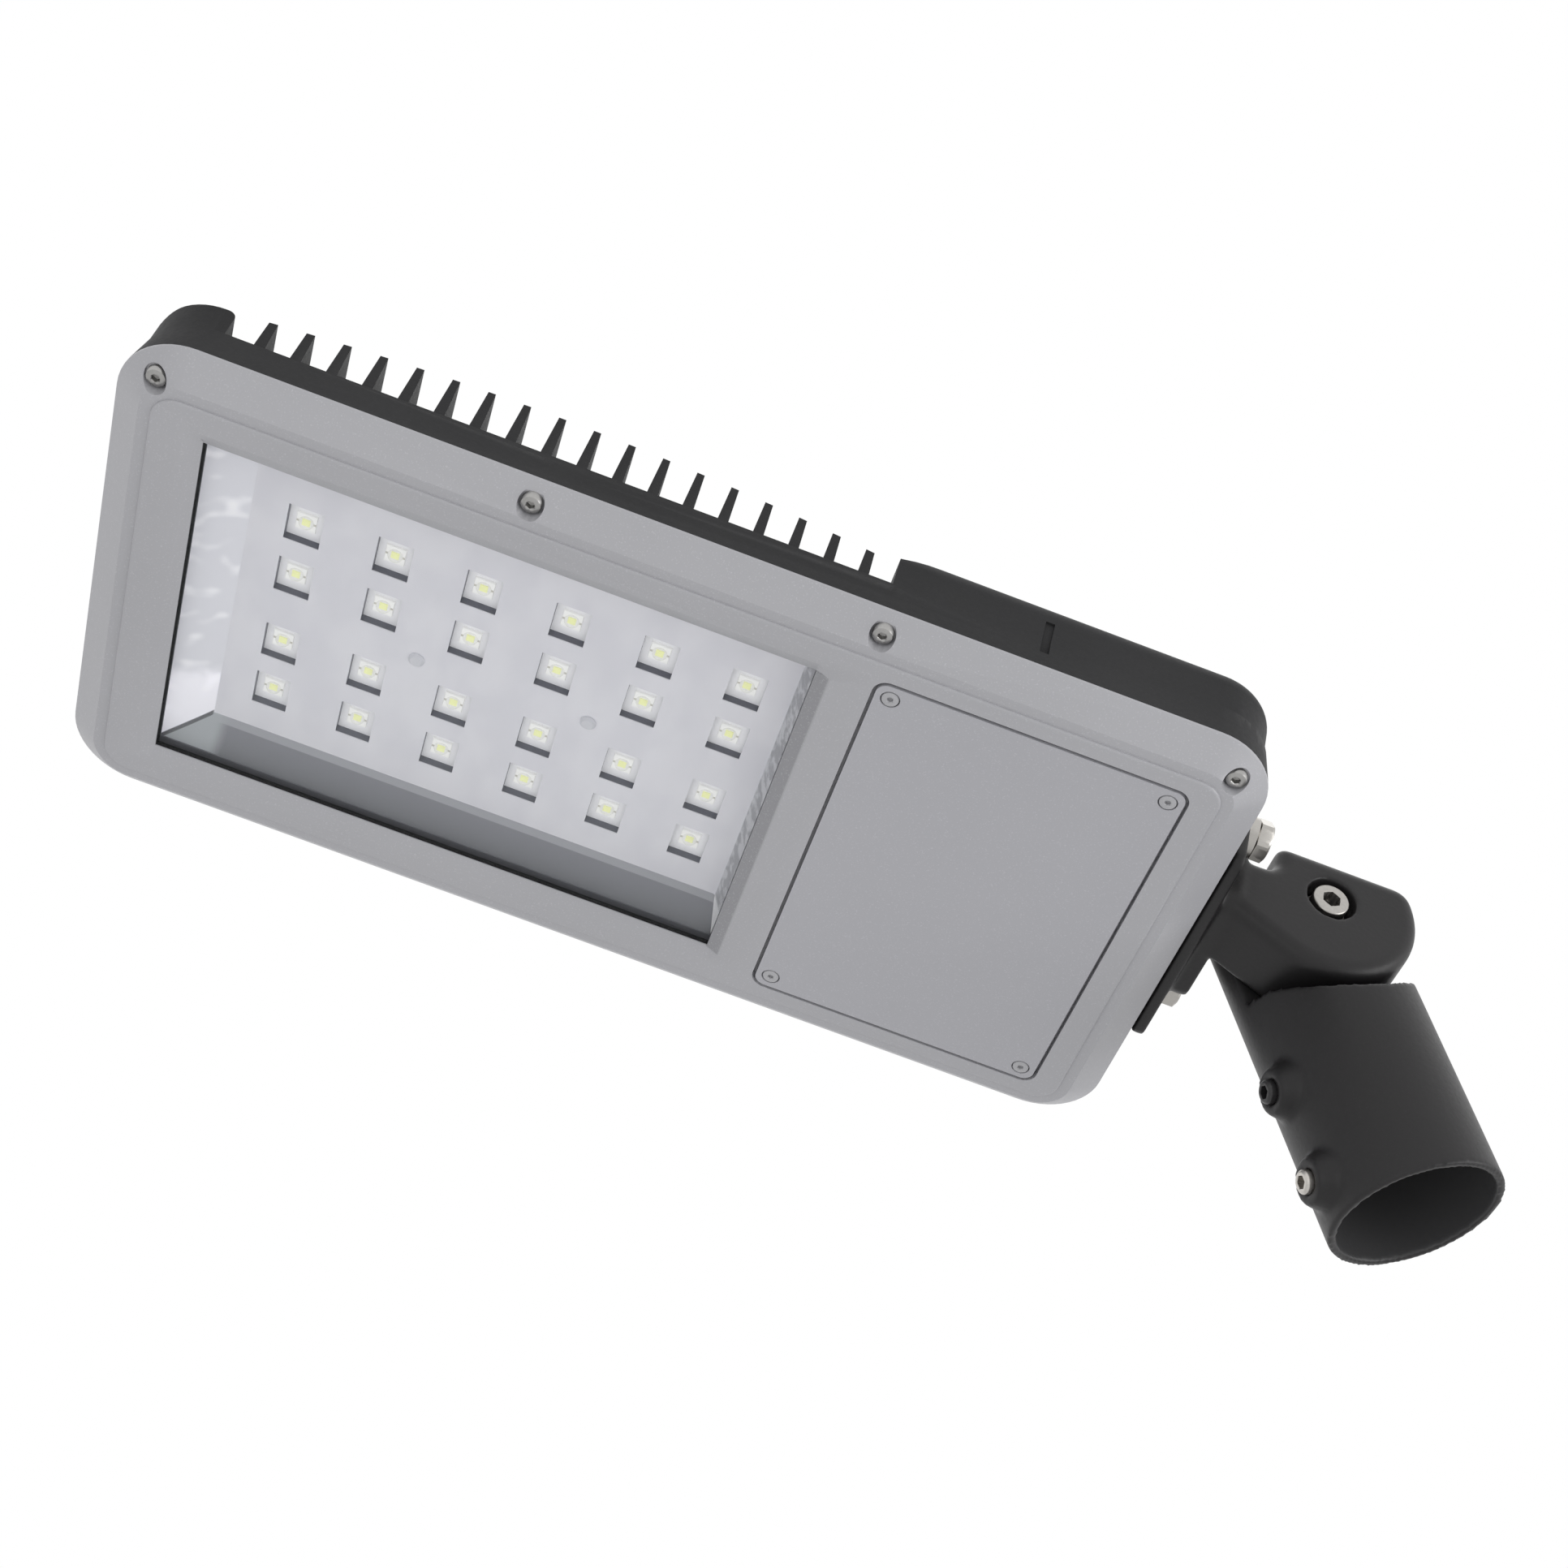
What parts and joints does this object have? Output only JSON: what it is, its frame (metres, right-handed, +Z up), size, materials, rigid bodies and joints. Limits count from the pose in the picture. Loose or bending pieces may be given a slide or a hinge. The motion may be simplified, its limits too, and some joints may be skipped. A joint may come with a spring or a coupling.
{
  "type": "led street light head",
  "caption": "Flat rectangular LED street light head with a finned housing, glass window, driver cover and a tilting pole spigot.",
  "frame": {"origin": "centre of the spigot's open mouth, where the pole end enters", "axes": "+X from the tip of the head towards its pole end, +Z up, with the head level and its lit face down"},
  "size_m": [0.5002, 0.195, 0.1407],
  "materials": {
    "dark_casting": "dark grey powder coat on die-cast aluminium",
    "bracket_casting": "dark grey powder coat, slightly glossier",
    "grey_casting": "silver grey powder coat",
    "cover_plate": "silver grey powder coat, bare of print",
    "steel": "stainless steel, satin",
    "glass": "clear toughened glass",
    "seal": "black silicone rubber",
    "reflector": "bright satin reflector sheet",
    "board": "white solder mask",
    "thermal_pad": "grey silicone pad",
    "led_ceramic": "white ceramic package",
    "led_dome": "clear silicone over yellow phosphor",
    "driver_case": "white polycarbonate case",
    "terminal": "dark polyamide"
  },
  "bodies": {
    "spigot": {"pole_spigot": "bracket_casting", "spigot_set_screws": "steel", "pivot_bolt": "steel", "pivot_head_washer": "steel", "pivot_nut_washer": "steel", "pivot_nut": "steel"},
    "head": {"heat_sink_housing": "dark_casting", "front_frame": "grey_casting", "housing_gasket": "seal", "window_glass": "glass", "glass_gasket": "seal", "reflector_tray": "reflector", "led_board": "board", "thermal_pad": "thermal_pad", "led_packages": "led_ceramic", "led_domes": "led_dome", "driver_cover": "cover_plate", "cover_gasket": "seal", "frame_screws": "steel", "cover_screws": "steel", "board_screws": "steel", "tray_screws": "steel", "led_driver": "driver_case", "driver_screws": "steel", "terminal_block": "terminal", "terminal_screws": "steel", "cable_grommet": "seal", "lead_grommet": "seal", "bracket_arm": "bracket_casting", "bracket_gasket": "seal", "bracket_bolts": "steel", "bracket_washers": "steel", "bracket_spring_washers": "steel"}
  },
  "joints": [
    {"name": "head_tilt", "type": "hinge", "parent": "spigot", "child": "head", "pos_m": [-0.04948, 0, 0.09712], "axis": [0, 1, 0], "range_deg": [-27, 18]}
  ]
}
